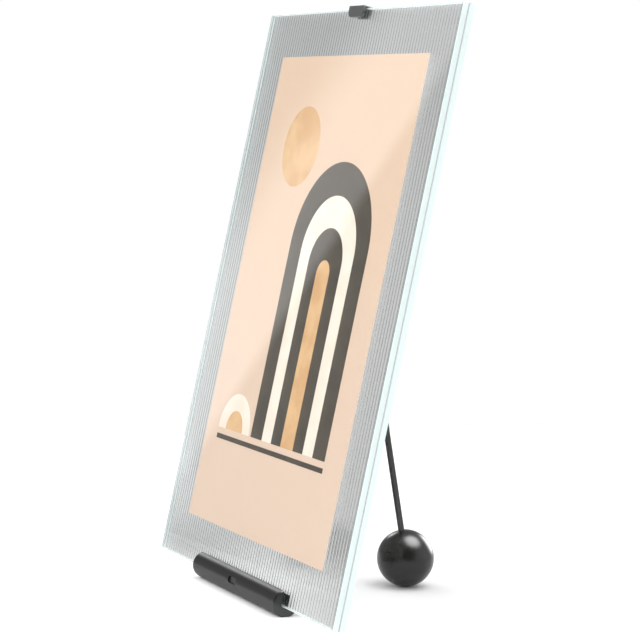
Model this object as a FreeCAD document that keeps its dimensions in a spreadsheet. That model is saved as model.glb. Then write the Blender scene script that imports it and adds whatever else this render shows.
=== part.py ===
import FreeCAD, Part
import math
import os
import re
import Sketcher
from FreeCAD import Placement, Rotation, Vector

# A picture frame for the table. Two panes stand in the slot of a round bar and lean on a ball-ended leg.
# The origin is on the table, below the middle of the frame. X runs along the bar, Y to the back, Z up.
# The leaning pieces are drawn in the panes' own frame: X along the bar, Y into the depth, Z up the glass,
# from the middle of the front pane's lower front edge.

# Driving dimensions in millimetres, and one angle in degrees.
SIZES = (
    ("print_width", 101.6, "width of the print"),
    ("print_height", 152.4, "height of the print"),
    ("paper", 0.2, "thickness of the print"),
    ("side_margin", 15.2, "clear glass beside the print"),
    ("end_margin", 14.55, "clear glass above and below the print"),
    ("front_glass", 1.8, "thickness of the clear front pane"),
    ("rear_glass", 2.3, "thickness of the reeded pane, from its flat side to its crests"),
    ("pane_corner", 0.35, "rounding of the panes' corners"),
    ("pane_arris", 0.2, "bevel along the front pane's ground edges"),
    ("reed_pitch", 1.75, "distance from one reed to the next"),
    ("reed_rise", 0.45, "height of a reed over the valleys beside it"),
    ("reed_land", 0.04, "flat strip left in each valley"),
    ("lean_degrees", 10.8, "angle of the panes from the upright"),
    ("stance", 55.9, "the ball's centre behind the bar's axis"),
    ("bar_length", 63.0, "length of the bar"),
    ("bar_diameter", 8.4, "diameter of the bar"),
    ("bar_bevel", 0.35, "bevel round the bar's ends"),
    ("bar_axis_depth", 1.2, "the bar's axis behind the front pane's face"),
    ("bar_axis_up", 1.1, "the bar's axis above the panes' lower edge"),
    ("rest_flat", 0.15, "depth of the flat ground under the bar"),
    ("slot_bevel", 0.4, "bevel along the slot's front lip"),
    ("liner_wall", 0.2, "thickness of the lining in the slot"),
    ("liner_height", 3.2, "height of the lining above the panes' lower edge"),
    ("liner_inset", 0.4, "the lining's ends inside the bar's ends"),
    ("pane_slack", 0.05, "gap between the panes and a lining"),
    ("recess_length", 6.0, "length of the long shallow recess in the bar's front"),
    ("recess_height", 2.0, "height of the recess"),
    ("recess_depth", 0.5, "depth of the recess at the bar's crown"),
    ("recess_up", 1.4, "height of the recess's middle above the panes' lower edge"),
    ("clip_width", 9.8, "width of the top clip"),
    ("clip_wall", 1.0, "thickness of the clip's two jaws"),
    ("clip_top", 0.45, "thickness of the clip's bridge over the panes"),
    ("clip_reach", 2.9, "how far the jaws reach below the panes' upper edge"),
    ("clip_corner", 2.1, "rounding of the jaws' lower corners"),
    ("clip_edge", 0.25, "rounding of the clip's upper edges"),
    ("clip_liner", 0.2, "thickness of the lining in the clip"),
    ("clip_liner_inset", 0.3, "the clip lining inside the clip's edges"),
    ("plate_width", 20.0, "width of the hinge plate behind the panes"),
    ("plate_height", 34.0, "height of the hinge plate"),
    ("plate_wall", 1.2, "thickness of the hinge plate"),
    ("plate_corner", 4.0, "rounding of the hinge plate's corners"),
    ("plate_edge", 0.3, "bevel round the hinge plate"),
    ("foam", 0.8, "thickness of the adhesive foam under the hinge plate"),
    ("foam_inset", 0.6, "the foam inside the plate's edge"),
    ("pivot_up", 125.0, "height of the hinge pin above the panes' lower edge"),
    ("pivot_stand", 6.0, "the hinge pin behind the reeds' crests"),
    ("ear_radius", 2.9, "round end of the hinge ears"),
    ("ear_foot", 6.0, "half the height of the ears where they leave the plate"),
    ("ear_wall", 1.2, "thickness of each hinge ear"),
    ("pin_diameter", 2.0, "diameter of the hinge pin"),
    ("pin_head", 3.6, "diameter of the pin's head"),
    ("pin_head_height", 0.8, "thickness of the pin's head"),
    ("pin_groove", 1.4, "diameter of the pin's groove"),
    ("pin_tail", 0.5, "length of the pin past its groove"),
    ("pin_fit", 0.02, "radial gap of the pin in the ears"),
    ("pin_running_fit", 0.04, "radial gap of the pin in the knuckle"),
    ("ring_wall", 0.4, "thickness of the pin's snap ring"),
    ("ring_diameter", 3.8, "outer diameter of the snap ring"),
    ("ring_mouth", 1.2, "width of the snap ring's mouth"),
    ("ring_slack", 0.03, "play of the snap ring in its groove"),
    ("washer_wall", 0.3, "thickness of a hinge washer"),
    ("washer_diameter", 4.8, "outer diameter of a hinge washer"),
    ("knuckle_width", 4.0, "width of the leg's knuckle"),
    ("knuckle_radius", 2.6, "round of the knuckle about the pin"),
    ("knuckle_slack", 0.05, "side gap of the knuckle, and gap of its heel before the plate"),
    ("heel_height", 5.6, "height of the heel above the pin"),
    ("heel_foot", 0.6, "lower end of the heel's face above the pin"),
    ("heel_top", 2.4, "depth of the heel's upper end"),
    ("boss_diameter", 3.8, "diameter of the knuckle's boss for the rod"),
    ("boss_reach", 9.0, "the boss's lower end from the pin"),
    ("boss_bevel", 0.4, "bevel on the boss's lower end"),
    ("rod_diameter", 2.0, "diameter of the leg's rod"),
    ("rod_start", 2.2, "the rod's upper end from the pin"),
    ("rod_bevel", 0.2, "bevel on the rod's ends"),
    ("rod_fit", 0.02, "radial gap of the rod in its two bores"),
    ("rod_end_gap", 0.1, "gap past the rod's ends in the bores"),
    ("ball_diameter", 18.2, "diameter of the ball"),
    ("ball_bore", 8.1, "depth of the bore in the ball"),
    ("ball_sink", 0.25, "bevel round the ball's bore"),
    ("overrun", 1.0, "how far a cutter runs past what it cuts"),
)

# What follows from the driving dimensions.
FORMULAS = (
    ("pane_width", "print_width + 2 * side_margin"),
    ("pane_height", "print_height + 2 * end_margin"),
    ("reed_count", "floor(pane_width / reed_pitch)"),
    ("reed_half", "(reed_pitch - reed_land) / 2"),
    ("reed_radius", "(reed_half * reed_half + reed_rise * reed_rise) / (2 * reed_rise)"),
    ("rear_face", "front_glass + paper"),
    ("pack", "rear_face + rear_glass"),
    ("valley", "pack - reed_rise"),
    ("bar_radius", "bar_diameter / 2"),
    ("ball_radius", "ball_diameter / 2"),
    ("slot_front", "-(liner_wall + pane_slack)"),
    ("slot_rear", "pack + pane_slack + liner_wall"),
    ("crown", "bar_axis_depth - bar_radius"),
    ("foam_back", "pack + foam"),
    ("plate_back", "foam_back + plate_wall"),
    ("pivot_depth", "pack + pivot_stand"),
    ("ear_gap", "knuckle_width + 2 * (knuckle_slack + washer_wall)"),
    ("ear_outer", "ear_gap + 2 * ear_wall"),
    ("ear_side", "ear_outer / 2"),
    ("pin_eye", "pin_diameter / 2 + pin_running_fit"),
    ("rod_hole", "rod_diameter / 2 + rod_fit"),
    ("lean_sine", "sin(lean_degrees)"),
    ("lean_cosine", "cos(lean_degrees)"),
    ("foot_back", "-(bar_axis_depth * lean_cosine + bar_axis_up * lean_sine)"),
    ("foot_height", "bar_radius - rest_flat + bar_axis_depth * lean_sine - bar_axis_up * lean_cosine"),
    ("pivot_back", "foot_back + pivot_depth * lean_cosine + pivot_up * lean_sine"),
    ("pivot_height", "foot_height - pivot_depth * lean_sine + pivot_up * lean_cosine"),
    ("leg_back", "stance - pivot_back"),
    ("leg_fall", "pivot_height - ball_radius"),
    ("leg_reach", "sqrt(leg_back * leg_back + leg_fall * leg_fall)"),
    ("leg_degrees", "atan(leg_back / leg_fall) / 1deg"),
    ("bar_place", "(bar_radius - stance - ball_radius) / 2"),
    ("foot_place", "bar_place + foot_back"),
    ("pivot_place", "bar_place + pivot_back"),
    ("opening_degrees", "lean_degrees + leg_degrees"),
)

ACROSS = Vector(1, 0, 0)
DEEP = Vector(0, 1, 0)
SAME_WAY_SHARE = 0.999
FULL_TURN = 360
RIGHT_ANGLE = 90

# How a sketch names a point: of a piece, and of its own origin.
START, END, CENTRE = 1, 2, 3
ORIGIN = (-1, 1)

document = FreeCAD.newDocument("clip_frame")
sheet = document.addObject("Spreadsheet::Sheet", "Sizes")
NAMES = [row[0] for row in SIZES] + [row[0] for row in FORMULAS]
NAME_PATTERN = re.compile(r"\b(" + "|".join(sorted(NAMES, key=len, reverse=True)) + r")\b")


def fill_sheet():
    """Writes the driving dimensions and the formulas into the sheet, one row each."""
    for row, (name, size, meaning) in enumerate(SIZES, 1):
        sheet.set(f"A{row}", name)
        sheet.set(f"B{row}", str(size))
        sheet.set(f"C{row}", meaning)
        sheet.setAlias(f"B{row}", name)
    for row, (name, formula) in enumerate(FORMULAS, len(SIZES) + 1):
        sheet.set(f"A{row}", name)
        sheet.set(f"B{row}", "=" + formula)
        sheet.setAlias(f"B{row}", name)
    document.recompute()


def linked(text):
    """The text of a formula with each size's name led back to the sheet."""
    return NAME_PATTERN.sub(r"Sizes.\1", text)


def number(text):
    """The present value of a formula."""
    return float(sheet.evalExpression(linked(text)))


def bind(item, **formulas):
    """Binds properties of an object to formulas; two underscores in a name stand for a dot."""
    for name, formula in formulas.items():
        item.setExpression(name.replace("__", "."), linked(formula))


def new_body(label):
    """An empty body whose label names its file."""
    body = document.addObject("PartDesign::Body", label)
    body.Label = label
    return body


def new_sketch(body, name, role, lift="0", across="0", along="0", turn="0"):
    """A sketch on one of the body's own planes, lifted off it, or moved and turned in it."""
    plane = next(item for item in body.Origin.OriginFeatures if item.Role == role)
    sketch = body.newObject("Sketcher::SketchObject", name)
    sketch.AttachmentSupport = [(plane, "")]
    sketch.MapMode = "FlatFace"
    bind(sketch, AttachmentOffset__Base__x=across, AttachmentOffset__Base__y=along,
         AttachmentOffset__Base__z=lift, AttachmentOffset__Rotation__Angle=turn)
    return sketch


def constrain(sketch, formula, kind, *where):
    """Adds a constraint whose size follows a formula."""
    place = sketch.addConstraint(Sketcher.Constraint(kind, *where, number(formula)))
    bind(sketch, **{f"Constraints[{place}]": formula})


def hold(sketch, piece, point, across, along):
    """Holds a point of a piece at a place given by two formulas."""
    constrain(sketch, across, "DistanceX", *ORIGIN, piece, point)
    constrain(sketch, along, "DistanceY", *ORIGIN, piece, point)


def add_ring_of_pieces(sketch, pieces):
    """Adds pieces of a closed outline, each joined to the next, and gives their numbers."""
    numbers = [sketch.addGeometry(piece) for piece in pieces]
    for piece, following in zip(numbers, numbers[1:] + numbers[:1]):
        sketch.addConstraint(Sketcher.Constraint("Coincident", piece, END, following, START))
    return numbers


def draw_circle(sketch, across, along, radius):
    """A circle about a place given by two formulas."""
    centre = Vector(number(across), number(along), 0)
    piece = sketch.addGeometry(Part.Circle(centre, Vector(0, 0, 1), number(radius)))
    hold(sketch, piece, CENTRE, across, along)
    constrain(sketch, radius, "Radius", piece)


def draw_outline(sketch, points):
    """A closed outline of straight lines through points that are pairs of formulas."""
    places = [Vector(number(across), number(along), 0) for across, along in points]
    lines = [Part.LineSegment(place, following) for place, following in zip(places, places[1:] + places[:1])]
    for piece, (across, along) in zip(add_ring_of_pieces(sketch, lines), points):
        hold(sketch, piece, START, across, along)


def draw_rectangle(sketch, left, low, right, high):
    """An upright rectangle between two corners."""
    draw_outline(sketch, ((left, low), (right, low), (right, high), (left, high)))


def draw_stadium(sketch, half_straight, along, radius):
    """A long hole with round ends, centred on the sketch's upright axis."""
    reach, level, round_end = number(half_straight), number(along), number(radius)
    quarter = math.pi / 2
    upright = Vector(0, 0, 1)
    left = Part.Circle(Vector(-reach, level, 0), upright, round_end)
    right = Part.Circle(Vector(reach, level, 0), upright, round_end)
    pieces = (
        Part.ArcOfCircle(left, quarter, 3 * quarter),
        Part.LineSegment(Vector(-reach, level - round_end, 0), Vector(reach, level - round_end, 0)),
        Part.ArcOfCircle(right, -quarter, quarter),
        Part.LineSegment(Vector(reach, level + round_end, 0), Vector(-reach, level + round_end, 0)),
    )
    arc_left, low, arc_right, high = (sketch.addGeometry(piece) for piece in pieces)
    for first, second in ((arc_left, low), (low, arc_right), (arc_right, high), (high, arc_left)):
        sketch.addConstraint(Sketcher.Constraint("Tangent", first, END, second, START))
    sketch.addConstraint(Sketcher.Constraint("Equal", arc_left, arc_right))
    sketch.addConstraint(Sketcher.Constraint("Horizontal", low))
    constrain(sketch, radius, "Radius", arc_left)
    hold(sketch, arc_left, CENTRE, f"-({half_straight})", along)
    constrain(sketch, half_straight, "DistanceX", *ORIGIN, arc_right, CENTRE)


def extrude(kind, body, name, sketch, length, both=False, turned=False):
    """A pad or a pocket of a sketch, to one side or to both."""
    feature = body.newObject(f"PartDesign::{kind}", name)
    feature.Profile = sketch
    feature.SideType = "Symmetric" if both else "One side"
    feature.Reversed = turned
    bind(feature, Length=length)
    document.recompute()
    return feature


def revolve(kind, body, name, sketch, axis):
    """A full revolution or a groove about one of the sketch's axes."""
    feature = body.newObject(f"PartDesign::{kind}", name)
    feature.Profile = sketch
    feature.ReferenceAxis = (sketch, [axis])
    feature.Angle = FULL_TURN
    document.recompute()
    return feature


def edges_where(feature, test):
    """The names of a feature's edges that pass a test."""
    return [f"Edge{place}" for place, edge in enumerate(feature.Shape.Edges, 1) if test(edge)]


def is_round(edge):
    """Whether an edge is a circle or a part of one."""
    return isinstance(edge.Curve, Part.Circle)


def runs_along(edge, direction):
    """Whether an edge is straight and lies along a direction."""
    if not isinstance(edge.Curve, Part.Line):
        return False
    return abs(edge.Curve.Direction.dot(direction)) > SAME_WAY_SHARE


def fillet(body, name, base, edges, radius):
    """Rounds edges of a feature."""
    feature = body.newObject("PartDesign::Fillet", name)
    feature.Base = (base, edges)
    bind(feature, Radius=radius)
    document.recompute()
    return feature


def chamfer(body, name, base, edges, size):
    """Bevels edges of a feature."""
    feature = body.newObject("PartDesign::Chamfer", name)
    feature.Base = (base, edges)
    bind(feature, Size=size)
    document.recompute()
    return feature


def stand(item, back, height, axis, degrees):
    """Puts a piece in its place, turned about an axis along the bar."""
    item.Placement = Placement(Vector(), Rotation(axis, number(degrees)))
    bind(item, Placement__Base__y=back, Placement__Base__z=height, Placement__Rotation__Angle=degrees)


def lean_with_panes(item):
    """Puts a piece that is drawn in the panes' frame where the panes stand."""
    stand(item, "foot_place", "foot_height", -ACROSS, "lean_degrees")


def lean_at_pivot(item):
    """Puts a piece that is drawn about the hinge pin in its place, leaning with the panes."""
    stand(item, "pivot_place", "pivot_height", -ACROSS, "lean_degrees")


def hang_at_pivot(item):
    """Puts a piece that is drawn about the hinge pin in its place, down to the ball."""
    stand(item, "pivot_place", "pivot_height", ACROSS, "leg_degrees")


def make_bar():
    """The round bar with its slot, the long recess in front and the flat that it rests on."""
    body = new_body("base_bar")
    outline = new_sketch(body, "bar_round", "YZ_Plane")
    draw_circle(outline, "bar_axis_depth", "bar_axis_up", "bar_radius")
    bar = extrude("Pad", body, "bar", outline, "bar_length", both=True)
    chamfer(body, "bar_ends", bar, edges_where(bar, is_round), "bar_bevel")
    slot = new_sketch(body, "slot_outline", "YZ_Plane")
    draw_rectangle(slot, "slot_front", "-liner_wall", "slot_rear", "bar_axis_up + bar_radius + overrun")
    slotted = extrude("Pocket", body, "slot", slot, "bar_length + overrun", both=True)
    chamfer(body, "slot_lip", slotted, edges_where(slotted, is_front_lip), "slot_bevel")
    recess = new_sketch(body, "recess_outline", "XZ_Plane", lift="-crown")
    draw_stadium(recess, "(recess_length - recess_height) / 2", "recess_up", "recess_height / 2")
    extrude("Pocket", body, "recess", recess, "recess_depth")
    under = new_sketch(body, "rest_outline", "YZ_Plane", across="bar_axis_depth", along="bar_axis_up",
                       turn="lean_degrees")
    draw_rectangle(under, "-bar_radius", "-bar_radius - overrun", "bar_radius", "rest_flat - bar_radius")
    extrude("Pocket", body, "rest_face", under, "bar_length + overrun", both=True)
    lean_with_panes(body)
    return body


def is_front_lip(edge):
    """Whether an edge is the long one where the slot's front wall meets the round."""
    middle = edge.BoundBox.Center
    at_wall = abs(middle.y - number("slot_front")) < number("liner_wall") / 2
    return runs_along(edge, ACROSS) and at_wall and middle.z > number("bar_axis_up")


def make_slot_liner():
    """The soft lining of the slot."""
    body = new_body("slot_liner")
    outline = new_sketch(body, "liner_outline", "YZ_Plane")
    draw_outline(outline, (
        ("slot_front", "-liner_wall"), ("slot_rear", "-liner_wall"), ("slot_rear", "liner_height"),
        ("pack + pane_slack", "liner_height"), ("pack + pane_slack", "0"), ("-pane_slack", "0"),
        ("-pane_slack", "liner_height"), ("slot_front", "liner_height")))
    extrude("Pad", body, "liner", outline, "bar_length - 2 * liner_inset", both=True)
    lean_with_panes(body)
    return body


def make_sheet_of_glass(body, name, front, thickness):
    """A rectangle of glass with its corners rounded, from a depth backwards."""
    outline = new_sketch(body, name + "_outline", "XZ_Plane", lift=f"-({front})")
    draw_rectangle(outline, "-pane_width / 2", "0", "pane_width / 2", "pane_height")
    pane = extrude("Pad", body, name + "_sheet", outline, thickness, turned=True)
    corners = edges_where(pane, lambda edge: runs_along(edge, DEEP))
    return fillet(body, name + "_corners", pane, corners, "pane_corner")


def make_front_pane():
    """The clear front pane, with its front edges ground to a bevel."""
    body = new_body("front_pane")
    pane = make_sheet_of_glass(body, "front", "0", "front_glass")
    middle = number("front_glass / 2")
    rims = edges_where(pane, lambda edge: edge.BoundBox.YMax < middle)
    chamfer(body, "front_arris", pane, rims, "pane_arris")
    lean_with_panes(body)
    return body


def make_back_pane():
    """The rear pane: flat against the print, with a row of upright half-round reeds behind."""
    body = new_body("back_pane")
    make_sheet_of_glass(body, "back", "rear_face", "valley - rear_face")
    profile = new_sketch(body, "reed_profile", "XY_Plane")
    middle = "-(reed_count - 1) / 2 * reed_pitch"
    left, right = f"{middle} - reed_half", f"{middle} + reed_half"
    root = "valley - reed_rise"
    low_left, low_right, high_right, crest, high_left = (
        Vector(number(across), number(along), 0) for across, along in (
            (left, root), (right, root), (right, "valley"), (middle, "pack"), (left, "valley")))
    base, side_right, arch, side_left = add_ring_of_pieces(profile, (
        Part.LineSegment(low_left, low_right), Part.LineSegment(low_right, high_right),
        Part.Arc(high_right, crest, high_left), Part.LineSegment(high_left, low_left)))
    hold(profile, base, START, left, root)
    hold(profile, base, END, right, root)
    hold(profile, side_right, END, right, "valley")
    hold(profile, side_left, START, left, "valley")
    constrain(profile, "reed_radius", "Radius", arch)
    reed = extrude("Pad", body, "reed", profile, "pane_height")
    row = body.newObject("PartDesign::LinearPattern", "reeds")
    row.Originals = [reed]
    row.Direction = (profile, ["H_Axis"])
    bind(row, Length="(reed_count - 1) * reed_pitch", Occurrences="reed_count")
    body.Tip = row
    document.recompute()
    lean_with_panes(body)
    return body


def make_print():
    """The print, centred between the panes."""
    body = new_body("print_sheet")
    outline = new_sketch(body, "print_outline", "XZ_Plane", lift="-front_glass")
    draw_rectangle(outline, "-print_width / 2", "end_margin", "print_width / 2", "end_margin + print_height")
    extrude("Pad", body, "print_paper", outline, "paper", turned=True)
    lean_with_panes(body)
    return body


def draw_about_pivot(sketch, half_width, half_height):
    """A rectangle centred on the hinge, on a plane parallel to the panes."""
    draw_rectangle(sketch, f"-({half_width})", f"pivot_up - ({half_height})",
                   half_width, f"pivot_up + {half_height}")


def make_foam():
    """The adhesive foam between the reeds and the hinge plate."""
    body = new_body("plate_foam")
    outline = new_sketch(body, "foam_outline", "XZ_Plane", lift="-pack")
    draw_about_pivot(outline, "plate_width / 2 - foam_inset", "plate_height / 2 - foam_inset")
    foam = extrude("Pad", body, "foam_sheet", outline, "foam", turned=True)
    corners = edges_where(foam, lambda edge: runs_along(edge, DEEP))
    fillet(body, "foam_corners", foam, corners, "plate_corner - foam_inset")
    lean_with_panes(body)
    return body


def make_bracket():
    """The hinge plate with its two ears, which carry the pin."""
    body = new_body("hinge_bracket")
    outline = new_sketch(body, "plate_outline", "XZ_Plane", lift="-foam_back")
    draw_about_pivot(outline, "plate_width / 2", "plate_height / 2")
    plate = extrude("Pad", body, "plate", outline, "plate_wall", turned=True)
    corners = edges_where(plate, lambda edge: runs_along(edge, DEEP))
    rounded = fillet(body, "plate_corners", plate, corners, "plate_corner")
    middle = number("foam_back + plate_wall / 2")
    rims = edges_where(rounded, lambda edge: edge.BoundBox.YMin > middle)
    chamfer(body, "plate_rim", rounded, rims, "plate_edge")
    foot = new_sketch(body, "ear_foot_outline", "YZ_Plane")
    draw_outline(foot, (
        ("foam_back + plate_edge", "pivot_up - ear_foot"), ("plate_back", "pivot_up - ear_foot"),
        ("pivot_depth", "pivot_up - ear_radius"), ("pivot_depth", "pivot_up + ear_radius"),
        ("plate_back", "pivot_up + ear_foot"), ("foam_back + plate_edge", "pivot_up + ear_foot")))
    extrude("Pad", body, "ear_feet", foot, "ear_outer", both=True)
    tip = new_sketch(body, "ear_round", "YZ_Plane")
    draw_circle(tip, "pivot_depth", "pivot_up", "ear_radius")
    extrude("Pad", body, "ear_tips", tip, "ear_outer", both=True)
    gap = new_sketch(body, "gap_outline", "YZ_Plane")
    draw_rectangle(gap, "plate_back", "pivot_up - ear_foot - overrun",
                   "pivot_depth + ear_radius + overrun", "pivot_up + ear_foot + overrun")
    extrude("Pocket", body, "ear_way", gap, "ear_gap", both=True)
    hole = new_sketch(body, "pin_hole", "YZ_Plane")
    draw_circle(hole, "pivot_depth", "pivot_up", "pin_diameter / 2 + pin_fit")
    extrude("Pocket", body, "pin_way", hole, "ear_outer + overrun", both=True)
    lean_with_panes(body)
    return body


def make_pin():
    """The hinge pin, turned with a head at one end and a groove at the other."""
    body = new_body("hinge_pin")
    profile = new_sketch(body, "pin_profile", "XY_Plane")
    shank, groove = "pin_diameter / 2", "pin_groove / 2"
    head_face = "-ear_side - pin_head_height"
    groove_end = "ear_side + ring_wall + 2 * ring_slack"
    tail_end = f"{groove_end} + pin_tail"
    draw_outline(profile, (
        (head_face, "0"), (tail_end, "0"), (tail_end, shank), (groove_end, shank), (groove_end, groove),
        ("ear_side", groove), ("ear_side", shank), ("-ear_side", shank), ("-ear_side", "pin_head / 2"),
        (head_face, "pin_head / 2")))
    revolve("Revolution", body, "pin", profile, "H_Axis")
    lean_at_pivot(body)
    return body


def make_ring():
    """The snap ring that keeps the pin in the ears."""
    body = new_body("pin_ring")
    outline = new_sketch(body, "ring_outline", "YZ_Plane", lift="ear_side + ring_slack")
    draw_circle(outline, "0", "0", "ring_diameter / 2")
    draw_circle(outline, "0", "0", "pin_groove / 2")
    extrude("Pad", body, "ring", outline, "ring_wall")
    mouth = new_sketch(body, "mouth_outline", "YZ_Plane", lift="ear_side + ring_slack + ring_wall")
    draw_rectangle(mouth, "0", "-ring_mouth / 2", "ring_diameter / 2 + overrun", "ring_mouth / 2")
    extrude("Pocket", body, "ring_way_in", mouth, "ring_wall")
    lean_at_pivot(body)
    return body


def make_washers():
    """Two washers, one beside each ear, as one group."""
    washers = []
    for name, start in (("washer_left", "-ear_gap / 2"), ("washer_right", "ear_gap / 2 - washer_wall")):
        disc = document.addObject("Part::Cylinder", name + "_disc")
        hole = document.addObject("Part::Cylinder", name + "_hole")
        bind(disc, Radius="washer_diameter / 2", Height="washer_wall")
        bind(hole, Radius="pin_eye", Height="washer_wall")
        for item in (disc, hole):
            item.Placement = Placement(Vector(), Rotation(DEEP, RIGHT_ANGLE))
            bind(item, Placement__Base__x=start)
        washer = document.addObject("Part::Cut", name)
        washer.Base = disc
        washer.Tool = hole
        washers.append(washer)
    group = document.addObject("Part::Compound", "hinge_washers")
    group.Label = "hinge_washers"
    group.Links = washers
    lean_at_pivot(group)
    return group


def make_knuckle():
    """The leg's knuckle: an eye on the pin, a heel that stops the leg, and a boss for the rod."""
    body = new_body("leg_knuckle")
    eye = new_sketch(body, "eye_round", "YZ_Plane")
    draw_circle(eye, "0", "0", "knuckle_radius")
    extrude("Pad", body, "eye", eye, "knuckle_width", both=True)
    heel = new_sketch(body, "heel_outline", "YZ_Plane")
    face = "plate_back - pivot_depth + knuckle_slack"
    draw_outline(heel, (
        (face, "heel_foot"), ("0", "-heel_foot"), ("knuckle_radius - heel_foot", "heel_foot"),
        (f"{face} + heel_top", "heel_height"), (face, "heel_height")))
    extrude("Pad", body, "heel", heel, "knuckle_width", both=True)
    boss = new_sketch(body, "boss_profile", "YZ_Plane", turn="opening_degrees")
    draw_outline(boss, (
        ("0", "-boss_reach"), ("boss_diameter / 2 - boss_bevel", "-boss_reach"),
        ("boss_diameter / 2", "boss_bevel - boss_reach"), ("boss_diameter / 2", "0"), ("0", "0")))
    revolve("Revolution", body, "boss", boss, "V_Axis")
    bore = new_sketch(body, "rod_bore", "YZ_Plane", turn="opening_degrees")
    draw_rectangle(bore, "0", "-boss_reach - overrun", "rod_hole", "rod_end_gap - rod_start")
    revolve("Groove", body, "rod_way", bore, "V_Axis")
    hole = new_sketch(body, "knuckle_hole", "YZ_Plane")
    draw_circle(hole, "0", "0", "pin_eye")
    extrude("Pocket", body, "knuckle_way", hole, "knuckle_width + overrun", both=True)
    lean_at_pivot(body)
    return body


def make_rod():
    """The leg's rod, from the knuckle's boss into the ball."""
    body = new_body("leg_rod")
    profile = new_sketch(body, "rod_profile", "YZ_Plane")
    side, neck = "rod_diameter / 2", "rod_diameter / 2 - rod_bevel"
    foot = "-(leg_reach - ball_radius + ball_bore - rod_end_gap)"
    draw_outline(profile, (
        ("0", foot), (neck, foot), (side, f"{foot} + rod_bevel"),
        (side, "-rod_start - rod_bevel"), (neck, "-rod_start"), ("0", "-rod_start")))
    revolve("Revolution", body, "rod", profile, "V_Axis")
    hang_at_pivot(body)
    return body


def make_ball():
    """The ball that stands on the table, bored for the rod."""
    ball = document.addObject("Part::Sphere", "ball_round")
    bind(ball, Radius="ball_radius", Placement__Base__z="-leg_reach")
    bore = document.addObject("Part::Cylinder", "ball_way")
    bind(bore, Radius="rod_hole", Height="ball_bore + overrun",
         Placement__Base__z="ball_radius - leg_reach - ball_bore")
    sink = document.addObject("Part::Cone", "ball_mouth")
    bind(sink, Radius1="rod_hole", Radius2="rod_hole + ball_sink + overrun", Height="ball_sink + overrun",
         Placement__Base__z="ball_radius - leg_reach - ball_sink")
    bored = document.addObject("Part::Cut", "ball_bored")
    bored.Base = ball
    bored.Tool = bore
    finished = document.addObject("Part::Cut", "leg_ball")
    finished.Label = "leg_ball"
    finished.Base = bored
    finished.Tool = sink
    hang_at_pivot(finished)
    return finished


def make_channel(body, name, inside, wall, top, low, width):
    """A channel over the panes' upper edge, open below: its gap to them, walls, bridge, foot and width."""
    outline = new_sketch(body, name + "_outline", "YZ_Plane")
    front, rear, under = f"-({inside})", f"pack + {inside}", f"pane_height + {inside}"
    draw_outline(outline, (
        (f"{front} - {wall}", low), (front, low), (front, under), (rear, under), (rear, low),
        (f"{rear} + {wall}", low), (f"{rear} + {wall}", f"{under} + {top}"),
        (f"{front} - {wall}", f"{under} + {top}")))
    channel = extrude("Pad", body, name, outline, width, both=True)
    middle = number(f"({low} + {under}) / 2")
    corners = edges_where(channel, lambda edge: runs_along(edge, DEEP) and edge.BoundBox.ZMax < middle)
    return fillet(body, name + "_corners", channel, corners, "clip_corner")


def make_clip():
    """The clip that holds the panes together at the top: two jaws and a bridge."""
    body = new_body("top_clip")
    clip = make_channel(body, "clip", "pane_slack + clip_liner", "clip_wall", "clip_top",
                        "pane_height - clip_reach", "clip_width")
    inner = number("pane_height + pane_slack + clip_liner + clip_top / 2")
    rims = edges_where(clip, lambda edge: edge.BoundBox.ZMin > inner)
    fillet(body, "clip_edges", clip, rims, "clip_edge")
    lean_with_panes(body)
    return body


def make_clip_liner():
    """The soft lining of the clip."""
    body = new_body("clip_liner")
    make_channel(body, "clip_lining", "pane_slack", "clip_liner", "clip_liner",
                 "pane_height - clip_reach + clip_liner_inset", "clip_width - 2 * clip_liner_inset")
    lean_with_panes(body)
    return body


def check_and_write(pieces):
    """Stops if anything failed, and otherwise writes one file for each piece."""
    document.recompute()
    failed = [item.Name for item in document.Objects if "Invalid" in item.State or "Error" in item.State]
    if failed:
        raise SystemExit("failed objects: " + ", ".join(failed))
    for piece in pieces:
        if piece.Shape.isNull() or not piece.Shape.isValid():
            raise SystemExit("bad shape: " + piece.Label)
    os.makedirs("parts", exist_ok=True)
    for piece in pieces:
        piece.Shape.exportStep(f"parts/{piece.Label}.step")
        print(piece.Label, len(piece.Shape.Solids), "solids", round(piece.Shape.Volume, 3), "cubic mm")


fill_sheet()
check_and_write([make() for make in (
    make_bar, make_slot_liner, make_front_pane, make_print, make_back_pane, make_foam, make_bracket,
    make_pin, make_ring, make_washers, make_knuckle, make_rod, make_ball, make_clip, make_clip_liner)])
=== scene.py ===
import math

import bpy
from mathutils import Matrix, Vector


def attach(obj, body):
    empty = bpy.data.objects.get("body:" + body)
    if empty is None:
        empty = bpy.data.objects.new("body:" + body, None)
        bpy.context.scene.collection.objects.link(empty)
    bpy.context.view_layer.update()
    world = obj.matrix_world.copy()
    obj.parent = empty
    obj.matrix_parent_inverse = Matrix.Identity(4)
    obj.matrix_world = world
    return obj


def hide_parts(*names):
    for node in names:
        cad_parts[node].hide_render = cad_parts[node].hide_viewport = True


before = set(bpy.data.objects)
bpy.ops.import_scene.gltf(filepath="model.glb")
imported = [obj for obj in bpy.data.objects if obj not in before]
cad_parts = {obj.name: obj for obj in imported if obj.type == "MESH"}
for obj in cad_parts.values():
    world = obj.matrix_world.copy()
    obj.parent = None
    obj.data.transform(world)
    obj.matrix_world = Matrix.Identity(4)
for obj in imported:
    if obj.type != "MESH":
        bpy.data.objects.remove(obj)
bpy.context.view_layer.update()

MM = 0.001

# Camera, solved from the photo
CAMERA_PLACE = (0.63107, -0.30969, 0.14393)
CAMERA_YAW = -64.419
CAMERA_PITCH = 4.792
CAMERA_ROLL = -2.030
CAMERA_LENS = 127.69
CAMERA_NEAR = 0.01
SENSOR_WIDTH = 36.0

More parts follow.
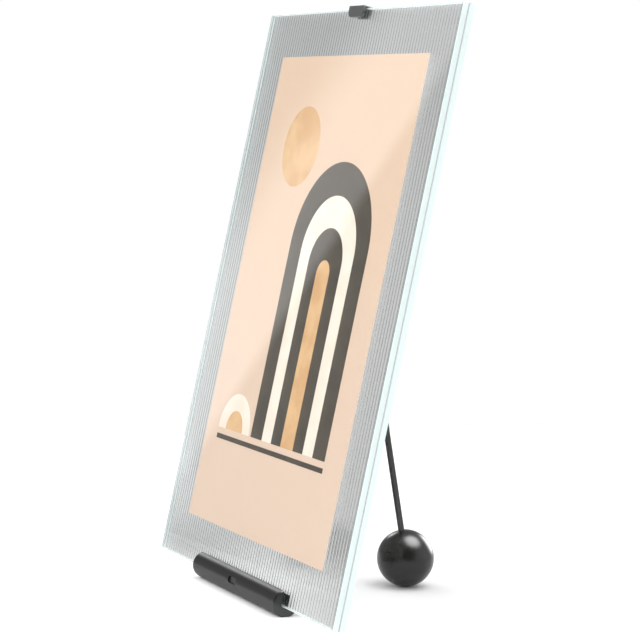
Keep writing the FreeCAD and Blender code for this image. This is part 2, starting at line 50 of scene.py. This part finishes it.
# The panes' own frame: x across, up the glass, into its depth
LEAN = math.radians(10.8)
UP = Vector((0, math.sin(LEAN), math.cos(LEAN)))
DEPTH = Vector((0, math.cos(LEAN), -math.sin(LEAN)))
PANES_FOOT = Vector((0, -31.785, 3.194)) * MM
PANE_HALF_WIDTH = 66.0 * MM
PANE_HALF_HEIGHT = 90.75 * MM

# The glass. Its rim is ground, and its body clear
GLASS_IOR = 1.52
GLASS_BODY = (0.985, 0.995, 0.992, 1)
GLASS_EDGE = (0.815, 0.945, 0.935, 1)
# A grey painted shade on the arrises where the two panes meet
GLASS_SEAM_PAINTED_SHADE = (0.520, 0.560, 0.565, 1)
# A dark painted shade on a thin line of the face beside each upright rim
GLASS_RIM_PAINTED_SHADE = (0.420, 0.440, 0.440, 1)
GLASS_PASSED = (0.960, 0.967, 0.965, 1)
EDGE_GROUND = 0.30 * MM
EDGE_BLEND = 0.10 * MM
RIM_PAINTED_SHADE_WIDTH = 0.45 * MM
RIM_INSIDE = (0.950, 1.000, 0.995, 1)
RIM_LET_IN = 0.20
RIM_CLEARNESS = 0.15
RIM_ROUGH = 0.38
SEAM_DEPTH = 1.90 * MM
SEAM_HALF = 0.26 * MM
SEAM_SOFT = 0.05 * MM
SMEAR_SIZE = 18 * MM
CLEAR_SMUDGE = 0.010
REEDED_SMUDGE = 0.015

# The print's sheet
PRINT_HALF_WIDTH = 50.8 * MM
PRINT_HALF_HEIGHT = 76.2 * MM
PRINT_FRONT = 1.83 * MM
PRINT_BACK = 1.97 * MM
PRINT_COLUMNS = 8
PRINT_ROWS = 12
PAPER_PLAIN = (0.820, 0.810, 0.780, 1)
PAPER_FIBRE = (0.870, 0.865, 0.845, 1)
PAPER_ROUGH = (0.62, 0.80)
PAPER_SPECULAR = 0.15
PAPER_SIDE_SOFT = 0.01 * MM
FIBRE_SIZE = 0.5 * MM
FIBRE_RELIEF = 0.004 * MM

# The inks. Each has its own colour and a worn one
PEACH_LIGHT = (0.655, 0.462, 0.328, 1)
PEACH_DEEP = (0.662, 0.492, 0.383, 1)
CHARCOAL = ((0.026, 0.017, 0.004, 1), (0.040, 0.029, 0.012, 1))
CREAM = ((0.820, 0.725, 0.625, 1), (0.785, 0.675, 0.560, 1))
OCHRE = ((0.580, 0.320, 0.128, 1), (0.670, 0.415, 0.200, 1))
WASH_SIZE = 22 * MM
PATCH_SIZE = 9 * MM
PATCH_FADE = (0.35, 0.65)
FLECK_SIZE = 0.35 * MM
FLECK_SHARE = 0.9
FLECK_WEAR = 0.06

# The picture, in millimetres from the print's middle
INK_EDGE = 0.06
SLOPE_ENDS = (70.0, -76.0)
SLOPE_SHARE = 0.85
SUN_PLACE = (-23.0, 47.0)
SUN_RADIUS = 13.0
ARCH_MIDDLE = 11.0
ARCH_FOOT = -46.0
# Arches from the outside in: half width, height where the round top starts, ink
ARCHES = (
    (27.0, 16.0, CHARCOAL),
    (18.5, 14.0, CREAM),
    (11.5, 11.0, CHARCOAL),
    (4.5, 8.0, OCHRE),
)
HILL_PLACE = (-29.5, -46.0)
HILLS = ((12.0, CREAM), (6.5, OCHRE))
# Left, right, low and high side of the line
LINE = (-41.5, 38.0, -49.6, -48.0)

# Solid finishes. Grain mixes the dark and the light colour
BROAD_GRAIN = 40
FINE_SHARE = 0.6
# How far a face looks up before it takes the painted top shade
UPWARD = (0.70, 0.95)
SOLIDS = {
    "black_metal": {
        "dark": (0.063, 0.064, 0.064, 1),
        "light": (0.085, 0.086, 0.086, 1),
        "rough": (0.28, 0.38),
        "size": 0.12 * MM,
        "relief": 0.003 * MM,
        "metal": 0.85,
        "edge": 0.6,
    },
    # The clip: the same black metal painted lighter, as painted light on its front, with a
    # near-black painted shade on the faces that look up
    "clip_metal_painted_light_and_shade": {
        "dark": (0.168, 0.170, 0.170, 1),
        "light": (0.205, 0.207, 0.207, 1),
        "top": (0.012, 0.012, 0.012, 1),
        "rough": (0.28, 0.38),
        "size": 0.12 * MM,
        "relief": 0.003 * MM,
        "metal": 0.85,
    },
    "black_ball": {
        "dark": (0.010, 0.010, 0.009, 1),
        "light": (0.016, 0.016, 0.014, 1),
        "rough": (0.26, 0.35),
        "size": 0.15 * MM,
        "relief": 0.002 * MM,
        "specular": 0.42,
    },
    "dark_steel": {
        "dark": (0.085, 0.086, 0.090, 1),
        "light": (0.125, 0.126, 0.130, 1),
        "rough": (0.25, 0.36),
        "size": 0.10 * MM,
        "relief": 0.002 * MM,
        "metal": 1.0,
    },
    "soft_lining": {
        "dark": (0.018, 0.018, 0.019, 1),
        "light": (0.040, 0.040, 0.042, 1),
        "rough": (0.85, 0.97),
        "size": 0.10 * MM,
        "relief": 0.02 * MM,
        "specular": 0.2,
    },
    "nylon": {
        "dark": (0.100, 0.100, 0.098, 1),
        "light": (0.135, 0.135, 0.132, 1),
        "rough": (0.40, 0.52),
        "size": 0.20 * MM,
        "relief": 0.002 * MM,
    },
}

# The floor, and how far out glass and gloss still show it
WHITE = (1, 1, 1, 1)
FLOOR_LOW = (0.900, 0.900, 0.902, 1)
FLOOR_HIGH = (0.915, 0.915, 0.917, 1)
FLOOR_GRAIN = 300 * MM
FLOOR_HALF = 0.34
FLOOR_PASSED = (0.0, 0.07)
FLOOR_MIRRORED = (0.10, 0.30)
# A soft light spot on the floor, seen only through the glass
SPOT_MIDDLE = (-0.20, 0.0, 0.0)
SPOT_FADE = (0.135, 0.0)
SPOT_GAIN = 0.55

# The room. The camera, surfaces, gloss and glass each see a level of their own
SKYWARD = (0, 0, 1)
BACK_TOWARDS = Vector((-0.35, 0.94, 0.0)).normalized()
BACK_FADE = (-0.4, 0.8)
BACKDROP = 1.0
LIT_FRONT = 0.95
LIT_BACK = 0.46
LIT_BELOW = 0.90
LIT_HORIZON = (-0.02, 0.02)
MIRROR_FRONT = 0.07
MIRROR_BACK = 0.45
MIRROR_BELOW = 0.55
MIRROR_HORIZON = (-0.30, 0.05)
PASSED_FRONT = 0.32
PASSED_BACK = 0.53
PASSED_LOW_GAIN = 0.17
PASSED_HORIZON = (0.0, -0.12)
LIT_LAMP_GAIN = 0.6
MIRROR_LAMP_GAIN = 4.4
# Soft boxes: direction, strength, outer angle, inner angle
LAMP_BOXES = (
    ((0.193, 0.278, 0.944), 3.4, 30, 14),
    ((-0.439, 0.863, 0.249), 2.2, 20, 9),
)
FILL_BOXES = (
    ((-0.250, -0.870, 0.420), 1.45, 62, 25),
    ((0.950, 0.150, 0.280), 0.42, 50, 20),
    ((-0.960, 0.100, 0.200), 1.6, 30, 12),
)
MIRROR_BOXES = (
    ((-0.900, 0.070, 0.426), 6.6, 10, 3),
    ((-0.900, -0.430, 0.060), 0.16, 30, 14),
    ((0.700, 0.710, 0.080), 1.00, 48, 12),
)
# A slanting bright strip that the front glass mirrors across the print
STRIP_ACROSS = (-0.3968, 0.8970, 0.1949)
STRIP_MIDDLE = Vector((-0.900, -0.405, 0.140)).normalized()
STRIP_ENTRY = (-0.004, 0.004)
STRIP_EXIT = (0.052, 0.026)
STRIP_REACH = (24, 15)
STRIP_LIGHT = 0.98

# Sockets of a Mix node: factor, first, second, result
COLOUR_SOCKETS = (0, 6, 7, 2)
VALUE_SOCKETS = (0, 2, 3, 0)


def put(tree, socket, value):
    """Links a socket to another, or sets its constant."""
    if isinstance(value, bpy.types.NodeSocket):
        tree.links.new(value, socket)
    else:
        socket.default_value = value


def add(tree, kind, **values):
    """Adds a node and fills its named inputs."""
    node = tree.nodes.new(kind)
    for name, value in values.items():
        put(tree, node.inputs[name.replace("_", " ")], value)
    return node


def calc(tree, operation, first, second=None, clamp=False):
    """The output of a Math node."""
    node = tree.nodes.new("ShaderNodeMath")
    node.operation = operation
    node.use_clamp = clamp
    put(tree, node.inputs[0], first)
    if second is not None:
        put(tree, node.inputs[1], second)
    return node.outputs[0]


def total(tree, *values):
    """The sum of several values."""
    result = values[0]
    for value in values[1:]:
        result = calc(tree, "ADD", result, value)
    return result


def product(tree, *values):
    """The product of several values."""
    result = values[0]
    for value in values[1:]:
        result = calc(tree, "MULTIPLY", result, value)
    return result


def vectors(tree, operation, first, second=None):
    """The outputs of a Vector Math node."""
    node = tree.nodes.new("ShaderNodeVectorMath")
    node.operation = operation
    put(tree, node.inputs[0], first)
    if second is not None:
        put(tree, node.inputs[1], tuple(second))
    return node.outputs


def dot(tree, vector, axis):
    """The length of a vector along an axis."""
    return vectors(tree, "DOT_PRODUCT", vector, axis)["Value"]


def fade(tree, value, start, end):
    """0 at start and 1 at end, smooth between them."""
    node = tree.nodes.new("ShaderNodeMapRange")
    node.interpolation_type = "SMOOTHSTEP"
    put(tree, node.inputs["Value"], value)
    put(tree, node.inputs["From Min"], start)
    put(tree, node.inputs["From Max"], end)
    return node.outputs["Result"]


def spread(tree, value, low, high):
    """A value from 0 to 1, spread from low to high."""
    node = tree.nodes.new("ShaderNodeMapRange")
    put(tree, node.inputs["Value"], value)
    put(tree, node.inputs["To Min"], low)
    put(tree, node.inputs["To Max"], high)
    return node.outputs["Result"]


def mix_node(tree, data_type, sockets, values):
    """The result of a Mix node for a factor and two values."""
    node = tree.nodes.new("ShaderNodeMix")
    node.data_type = data_type
    for socket, value in zip(sockets, values):
        put(tree, node.inputs[socket], value)
    return node.outputs[sockets[-1]]


def mix(tree, factor, first, second):
    """A colour between two colours."""
    return mix_node(tree, "RGBA", COLOUR_SOCKETS, (factor, first, second))


def blend(tree, factor, first, second):
    """A value between two values."""
    return mix_node(tree, "FLOAT", VALUE_SOCKETS, (factor, first, second))


def blend_shaders(tree, factor, first, second):
    """A shader between two shaders."""
    node = tree.nodes.new("ShaderNodeMixShader")
    for socket, value in zip(node.inputs, (factor, first, second)):
        put(tree, socket, value)
    return node.outputs[0]


def own_place(tree):
    """A point's place in the piece's own frame."""
    return tree.nodes.new("ShaderNodeTexCoord").outputs["Object"]


def grain(tree, size, detail=3.0):
    """Noise from 0 to 1 with grains of about this size, fixed to the piece."""
    scaled = vectors(tree, "MULTIPLY", own_place(tree), (1 / size, 1 / size, 1 / size))["Vector"]
    noise = add(tree, "ShaderNodeTexNoise", Vector=scaled, Scale=1.0, Detail=detail)
    return noise.outputs[0]


def bump(tree, height, depth):
    """A normal from a height between 0 and 1."""
    return add(tree, "ShaderNodeBump", Height=height, Strength=1.0, Distance=depth).outputs["Normal"]


def new_material(name):
    """An empty material with its output node."""
    material = bpy.data.materials.new(name)
    material.use_nodes = True
    tree = material.node_tree
    tree.nodes.clear()
    return material, tree, tree.nodes.new("ShaderNodeOutputMaterial")


def finish_surface(tree, output, shader):
    """Links the finished shader to the material's output."""
    tree.links.new(shader, output.inputs["Surface"])


def painted_top_shade_mask(tree):
    """1 on the faces that look up along the panes, which take a painted shade."""
    normal = tree.nodes.new("ShaderNodeTexCoord").outputs["Normal"]
    return fade(tree, dot(tree, normal, UP), *UPWARD)


def make_solid(name, dark, light, rough, size, relief, metal=0.0, specular=0.5, edge=1.0, top=None):
    """A solid finish with fine grain in its colour, roughness and height, and a painted shade on the
    faces that look up where top is given.
    """
    material, tree, output = new_material(name)
    fine = grain(tree, size)
    broad = grain(tree, size * BROAD_GRAIN)
    colour = mix(tree, product(tree, fine, FINE_SHARE), dark, mix(tree, broad, dark, light))
    # Painted shade: faces that look up take the top colour
    if top is not None:
        colour = mix(tree, painted_top_shade_mask(tree), colour, top)
    shader = add(
        tree,
        "ShaderNodeBsdfPrincipled",
        Base_Color=colour,
        Roughness=spread(tree, product(tree, fine, broad), *rough),
        Normal=bump(tree, fine, relief),
    )
    shader.inputs["Metallic"].default_value = metal
    shader.inputs["Specular IOR Level"].default_value = specular
    shader.inputs["Specular Tint"].default_value = (edge, edge, edge, 1)
    finish_surface(tree, output, shader.outputs[0])
    return material


def pane_place(tree):
    """Where a point lies on the panes: across and up from their middle."""
    place = own_place(tree)
    across = dot(tree, place, (1, 0, 0))
    middle = PANES_FOOT.dot(UP) + PANE_HALF_HEIGHT
    return across, calc(tree, "SUBTRACT", dot(tree, place, UP), middle)


def pane_depth(tree):
    """How deep a point lies behind the front face of the panes."""
    return calc(tree, "SUBTRACT", dot(tree, own_place(tree), DEPTH), PANES_FOOT.dot(DEPTH))


def painted_seam_shade_mask(tree):
    """1 on the narrow arrises where the two panes meet, which take a grey painted shade for the gap
    between them.
    """
    away = calc(tree, "ABSOLUTE", calc(tree, "SUBTRACT", pane_depth(tree), SEAM_DEPTH))
    return fade(tree, away, SEAM_HALF + SEAM_SOFT, SEAM_HALF - SEAM_SOFT)


def on_ground_edge(tree):
    """1 on the ground rim of a pane and 0 on its faces."""
    masks = []
    for value, half in zip(pane_place(tree), (PANE_HALF_WIDTH, PANE_HALF_HEIGHT)):
        start = half - EDGE_GROUND
        masks.append(fade(tree, calc(tree, "ABSOLUTE", value), start, start + EDGE_BLEND))
    return calc(tree, "MAXIMUM", *masks)


def painted_rim_shade_mask(tree):
    """1 on the thin dark line of painted shade that each upright rim gets in the face beside it."""
    across = calc(tree, "ABSOLUTE", pane_place(tree)[0])
    end = PANE_HALF_WIDTH - EDGE_GROUND - RIM_PAINTED_SHADE_WIDTH
    return fade(tree, across, end - EDGE_BLEND, end)


def glass_surface(tree, rim, smudge):
    """The glass that is seen: a clear body and a ground rim that also lets light in, with painted
    shade in a dark line beside each upright rim and a grey line where the panes meet.
    """
    # Painted shade: a dark line in the face beside each upright rim
    face = mix(tree, painted_rim_shade_mask(tree), GLASS_BODY, GLASS_RIM_PAINTED_SHADE)
    # Painted shade: a grey line on the rim where the two panes meet
    edge = mix(tree, painted_seam_shade_mask(tree), GLASS_EDGE, GLASS_SEAM_PAINTED_SHADE)
    smear = product(tree, grain(tree, SMEAR_SIZE), smudge)
    shader = add(
        tree,
        "ShaderNodeBsdfPrincipled",
        Base_Color=mix(tree, rim, face, edge),
        Roughness=calc(tree, "MAXIMUM", product(tree, rim, RIM_ROUGH), smear),
    )
    shader.inputs["IOR"].default_value = GLASS_IOR
    put(tree, shader.inputs["Transmission Weight"], spread(tree, rim, 1.0, RIM_CLEARNESS))
    let_in = add(tree, "ShaderNodeBsdfTranslucent", Color=RIM_INSIDE)
    return blend_shaders(tree, product(tree, rim, RIM_LET_IN), shader.outputs[0], let_in.outputs[0])


def make_glass(name, smudge):
    """Glass with a ground rim. Light on its way to what lies behind passes straight through."""
    material, tree, output = new_material(name)
    seen = glass_surface(tree, on_ground_edge(tree), smudge)
    passed = add(tree, "ShaderNodeBsdfTransparent", Color=GLASS_PASSED)
    ray = tree.nodes.new("ShaderNodeLightPath").outputs
    lets_through = calc(tree, "MAXIMUM", ray["Is Shadow Ray"], ray["Is Diffuse Ray"])
    finish_surface(tree, output, blend_shaders(tree, lets_through, seen, passed.outputs[0]))
    return material


def disc(tree, x, y, centre, radius):
    """1 inside a circle."""
    dx = calc(tree, "SUBTRACT", x, centre[0])
    dy = calc(tree, "SUBTRACT", y, centre[1])
    squares = total(tree, product(tree, dx, dx), product(tree, dy, dy))
    return fade(tree, calc(tree, "SQRT", squares), radius + INK_EDGE, radius - INK_EDGE)


def block(tree, x, y, left, right, low, high):
    """1 inside an upright rectangle."""
    beside = calc(
        tree,
        "MINIMUM",
        fade(tree, x, left - INK_EDGE, left + INK_EDGE),
        fade(tree, x, right + INK_EDGE, right - INK_EDGE),
    )
    between = calc(
        tree,
        "MINIMUM",
        fade(tree, y, low - INK_EDGE, low + INK_EDGE),
        fade(tree, y, high + INK_EDGE, high - INK_EDGE),
    )
    return calc(tree, "MINIMUM", beside, between)


def arch(tree, x, y, half_width, spring):
    """1 inside an arch: a rectangle with a half circle on top."""
    left = ARCH_MIDDLE - half_width
    right = ARCH_MIDDLE + half_width
    body = block(tree, x, y, left, right, ARCH_FOOT, spring)
    crown = disc(tree, x, y, (ARCH_MIDDLE, spring), half_width)
    above = fade(tree, y, spring - 2 * INK_EDGE, spring)
    return calc(tree, "MAXIMUM", body, calc(tree, "MINIMUM", crown, above))


def hill(tree, x, y, centre, radius):
    """1 inside the upper half of a circle."""
    above = fade(tree, y, centre[1] - INK_EDGE, centre[1] + INK_EDGE)
    return calc(tree, "MINIMUM", disc(tree, x, y, centre, radius), above)


def picture_layers(tree, x, y):
    """The masks of the printed shapes with their inks, from the lowest to the top one."""
    layers = [(disc(tree, x, y, SUN_PLACE, SUN_RADIUS), OCHRE)]
    layers += [(arch(tree, x, y, half, spring), ink) for half, spring, ink in ARCHES]
    layers += [(hill(tree, x, y, HILL_PLACE, radius), ink) for radius, ink in HILLS]
    layers.append((block(tree, x, y, *LINE), CHARCOAL))
    return layers


def artwork(tree):
    """The printed picture: nested arches, a sun and a low hill over a line."""
    x, y = (product(tree, value, 1 / MM) for value in pane_place(tree))
    slope = product(tree, fade(tree, y, *SLOPE_ENDS), SLOPE_SHARE)
    wash = product(tree, grain(tree, WASH_SIZE, detail=4.0), 1 - SLOPE_SHARE)
    ground = mix(tree, total(tree, slope, wash), PEACH_LIGHT, PEACH_DEEP)
    patches = fade(tree, grain(tree, PATCH_SIZE, detail=6.0), *PATCH_FADE)
    picture = ground
    for mask, (ink, worn_ink) in picture_layers(tree, x, y):
        picture = mix(tree, mask, picture, mix(tree, patches, ink, worn_ink))
    worn = mix(tree, FLECK_WEAR, picture, ground)
    flecks = product(tree, grain(tree, FLECK_SIZE, detail=2.0), FLECK_SHARE)
    return mix(tree, flecks, picture, worn)


def make_paper():
    """Matt art paper, printed on its front and plain behind."""
    material, tree, output = new_material("print_paper")
    middle = (PRINT_FRONT + PRINT_BACK) / 2
    behind = fade(tree, pane_depth(tree), middle - PAPER_SIDE_SOFT, middle + PAPER_SIDE_SOFT)
    fibre = grain(tree, FIBRE_SIZE, detail=5.0)
    plain = mix(tree, fibre, PAPER_PLAIN, PAPER_FIBRE)
    shader = add(
        tree,
        "ShaderNodeBsdfPrincipled",
        Base_Color=mix(tree, behind, artwork(tree), plain),
        Roughness=spread(tree, fibre, *PAPER_ROUGH),
        Normal=bump(tree, fibre, FIBRE_RELIEF),
    )
    shader.inputs["Specular IOR Level"].default_value = PAPER_SPECULAR
    finish_surface(tree, output, shader.outputs[0])
    return material


def add_mesh(name, points, faces, material):
    """A new piece with its mesh and material, linked to the scene."""
    mesh = bpy.data.meshes.new(name)
    mesh.from_pydata([tuple(point) for point in points], [], faces)
    mesh.validate()
    mesh.materials.append(material)
    piece = bpy.data.objects.new(name, mesh)
    bpy.context.scene.collection.objects.link(piece)
    return piece


def on_panes(x, up, depth):
    """A point of the panes' own frame, as a world point."""
    return Vector((x, 0, 0)) + PANES_FOOT + UP * up + DEPTH * depth


def sheet_points(depth):
    """The points of one side of the sheet, row by row from its foot."""
    points = []
    for row in range(PRINT_ROWS + 1):
        for column in range(PRINT_COLUMNS + 1):
            x = PRINT_HALF_WIDTH * (2 * column / PRINT_COLUMNS - 1)
            up = PANE_HALF_HEIGHT + PRINT_HALF_HEIGHT * (2 * row / PRINT_ROWS - 1)
            points.append(on_panes(x, up, depth))
    return points


def side_faces(start, flip):
    """The quads of one side of the sheet, which face forward unless flipped."""
    wide = PRINT_COLUMNS + 1
    faces = []
    for row in range(PRINT_ROWS):
        for column in range(PRINT_COLUMNS):
            a = start + row * wide + column
            quad = (a, a + 1, a + wide + 1, a + wide)
            faces.append((quad[0], quad[3], quad[2], quad[1]) if flip else quad)
    return faces


def rim_faces():
    """The quads between the sheet's two sides."""
    wide = PRINT_COLUMNS + 1
    ring = list(range(PRINT_COLUMNS))
    ring += [row * wide + PRINT_COLUMNS for row in range(PRINT_ROWS)]
    ring += [PRINT_ROWS * wide + column for column in range(PRINT_COLUMNS, 0, -1)]
    ring += [row * wide for row in range(PRINT_ROWS, 0, -1)]
    back = (PRINT_ROWS + 1) * wide
    return [(b, a, a + back, b + back) for a, b in zip(ring, ring[1:] + ring[:1])]


def make_print(material):
    """The print, thin enough to clear both panes."""
    front = sheet_points(PRINT_FRONT)
    points = front + sheet_points(PRINT_BACK)
    faces = side_faces(0, False) + side_faces(len(front), True) + rim_faces()
    sheet = add_mesh("print_card", points, faces, material)
    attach(sheet, "panes")
    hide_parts("print_sheet")


def make_finishes():
    """Every material of the frame, by slot name."""
    finishes = {name: make_solid(name, **look) for name, look in SOLIDS.items()}
    finishes["clear_glass"] = make_glass("clear_glass", CLEAR_SMUDGE)
    finishes["reeded_glass"] = make_glass("reeded_glass", REEDED_SMUDGE)
    finishes["print_paper"] = make_paper()
    return finishes


def dress(finishes):
    """Gives each CAD node the finish its slot names. The clip gets a lighter copy of the black metal
    of its own, painted light for its front, with painted shade on its top.
    """
    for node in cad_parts.values():
        for slot in node.material_slots:
            slot.material = finishes[slot.material.name.split(".")[0]]
    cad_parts["top_clip"].material_slots[0].material = finishes["clip_metal_painted_light_and_shade"]


def angle_fade(tree, direction, towards, outer, inner):
    """0 at the outer angle from a direction and 1 at the inner one, in degrees."""
    ends = (math.cos(math.radians(angle)) for angle in (outer, inner))
    return fade(tree, dot(tree, direction, Vector(towards).normalized()), *ends)


def soft_boxes(tree, direction, boxes):
    """The light of round soft boxes in a direction."""
    glows = [
        product(tree, angle_fade(tree, direction, towards, outer, inner), strength)
        for towards, strength, outer, inner in boxes
    ]
    return total(tree, *glows)


def slanting_strip(tree, direction):
    """The light of a slanting strip in a direction."""
    across = dot(tree, direction, STRIP_ACROSS)
    inside = product(tree, fade(tree, across, *STRIP_ENTRY), fade(tree, across, *STRIP_EXIT))
    near = angle_fade(tree, direction, STRIP_MIDDLE, *STRIP_REACH)
    return product(tree, inside, near, STRIP_LIGHT)


def from_back(tree, direction, front, back):
    """The room's own level, from its front to its back."""
    return spread(tree, fade(tree, dot(tree, direction, BACK_TOWARDS), *BACK_FADE), front, back)


def level_through_glass(tree, place):
    """What rays through the glass see on the floor."""
    direction = vectors(tree, "NORMALIZE", place)["Vector"]
    front = PASSED_FRONT + PASSED_LOW_GAIN
    back = PASSED_BACK + PASSED_LOW_GAIN
    away = vectors(tree, "DISTANCE", place, SPOT_MIDDLE)["Value"]
    spot = product(tree, fade(tree, away, *SPOT_FADE), SPOT_GAIN)
    return total(tree, from_back(tree, direction, front, back), spot)


def into_room(tree, floor):
    """The floor, which fades into the room's level where glass or gloss shows it."""
    place = own_place(tree)
    away = vectors(tree, "LENGTH", place)["Value"]
    ray = tree.nodes.new("ShaderNodeLightPath").outputs
    passed = ray["Is Transmission Ray"]
    glossy = calc(tree, "SUBTRACT", ray["Is Glossy Ray"], passed, clamp=True)
    seen = product(tree, passed, fade(tree, away, *FLOOR_PASSED))
    mirrored = product(tree, glossy, fade(tree, away, *FLOOR_MIRRORED))
    level = blend(tree, glossy, level_through_glass(tree, place), MIRROR_BELOW)
    room = add(tree, "ShaderNodeEmission", Color=WHITE, Strength=level)
    return blend_shaders(tree, total(tree, seen, mirrored), floor, room.outputs[0])


def make_floor():
    """The table under the frame, a plain square that isn't part of it."""
    material, tree, output = new_material("floor")
    shader = add(
        tree,
        "ShaderNodeBsdfPrincipled",
        Base_Color=mix(tree, grain(tree, FLOOR_GRAIN), FLOOR_LOW, FLOOR_HIGH),
        Roughness=1.0,
    )
    shader.inputs["Specular IOR Level"].default_value = 0.0
    finish_surface(tree, output, into_room(tree, shader.outputs[0]))
    signs = ((-1, -1), (1, -1), (1, 1), (-1, 1))
    corners = [(x * FLOOR_HALF, y * FLOOR_HALF, 0) for x, y in signs]
    add_mesh("floor", corners, [(0, 1, 2, 3)], material)


def lit_level(tree, direction, height, lamps):
    """What lights the surfaces: a grey room with lamps and fill."""
    room = from_back(tree, direction, LIT_FRONT, LIT_BACK)
    room = blend(tree, fade(tree, height, *LIT_HORIZON), LIT_BELOW, room)
    fill = soft_boxes(tree, direction, FILL_BOXES)
    return total(tree, room, product(tree, lamps, LIT_LAMP_GAIN), fill)


def mirrored_level(tree, direction, height, lamps):
    """What gloss mirrors: a darker room with lamps, boxes and the slanting strip."""
    room = total(
        tree,
        from_back(tree, direction, MIRROR_FRONT, MIRROR_BACK),
        product(tree, lamps, MIRROR_LAMP_GAIN),
        soft_boxes(tree, direction, MIRROR_BOXES),
        slanting_strip(tree, direction),
    )
    return blend(tree, fade(tree, height, *MIRROR_HORIZON), MIRROR_BELOW, room)


def passed_level(tree, direction, height):
    """What shows through the glass: a plain room, lighter below the horizon."""
    low = product(tree, fade(tree, height, *PASSED_HORIZON), PASSED_LOW_GAIN)
    return total(tree, from_back(tree, direction, PASSED_FRONT, PASSED_BACK), low)


def make_sky():
    """Plain white to the camera. Surfaces, gloss and glass each see their own grey room."""
    world = bpy.data.worlds.new("room")
    world.use_nodes = True
    bpy.context.scene.world = world
    tree = world.node_tree
    tree.nodes.clear()
    direction = tree.nodes.new("ShaderNodeTexCoord").outputs["Generated"]
    ray = tree.nodes.new("ShaderNodeLightPath").outputs
    height = dot(tree, direction, SKYWARD)
    lamps = soft_boxes(tree, direction, LAMP_BOXES)
    lit = lit_level(tree, direction, height, lamps)
    level = blend(tree, ray["Is Glossy Ray"], lit, mirrored_level(tree, direction, height, lamps))
    level = blend(tree, ray["Is Transmission Ray"], level, passed_level(tree, direction, height))
    level = blend(tree, ray["Is Camera Ray"], level, BACKDROP)
    background = add(tree, "ShaderNodeBackground", Color=WHITE, Strength=level)
    output = tree.nodes.new("ShaderNodeOutputWorld")
    tree.links.new(background.outputs[0], output.inputs["Surface"])


def camera_turn():
    """The camera's rotation from its yaw, pitch and roll."""
    yaw, pitch, roll = (math.radians(angle) for angle in (CAMERA_YAW, CAMERA_PITCH, CAMERA_ROLL))
    forward = Vector(
        (math.sin(yaw) * math.cos(pitch), math.cos(yaw) * math.cos(pitch), -math.sin(pitch))
    )
    level = Vector((math.cos(yaw), -math.sin(yaw), 0))
    down = forward.cross(level)
    right = level * math.cos(roll) + down * math.sin(roll)
    up = level * math.sin(roll) - down * math.cos(roll)
    return Matrix((right, up, -forward)).transposed().to_4x4()


def make_camera():
    """The photo's camera."""
    data = bpy.data.cameras.new("camera")
    data.lens = CAMERA_LENS
    data.sensor_width = SENSOR_WIDTH
    data.clip_start = CAMERA_NEAR
    camera = bpy.data.objects.new("camera", data)
    camera.matrix_world = Matrix.Translation(CAMERA_PLACE) @ camera_turn()
    bpy.context.scene.collection.objects.link(camera)
    bpy.context.scene.camera = camera


finishes = make_finishes()
dress(finishes)
make_print(finishes["print_paper"])
make_floor()
make_sky()
make_camera()
bpy.context.scene.view_settings.view_transform = "Standard"
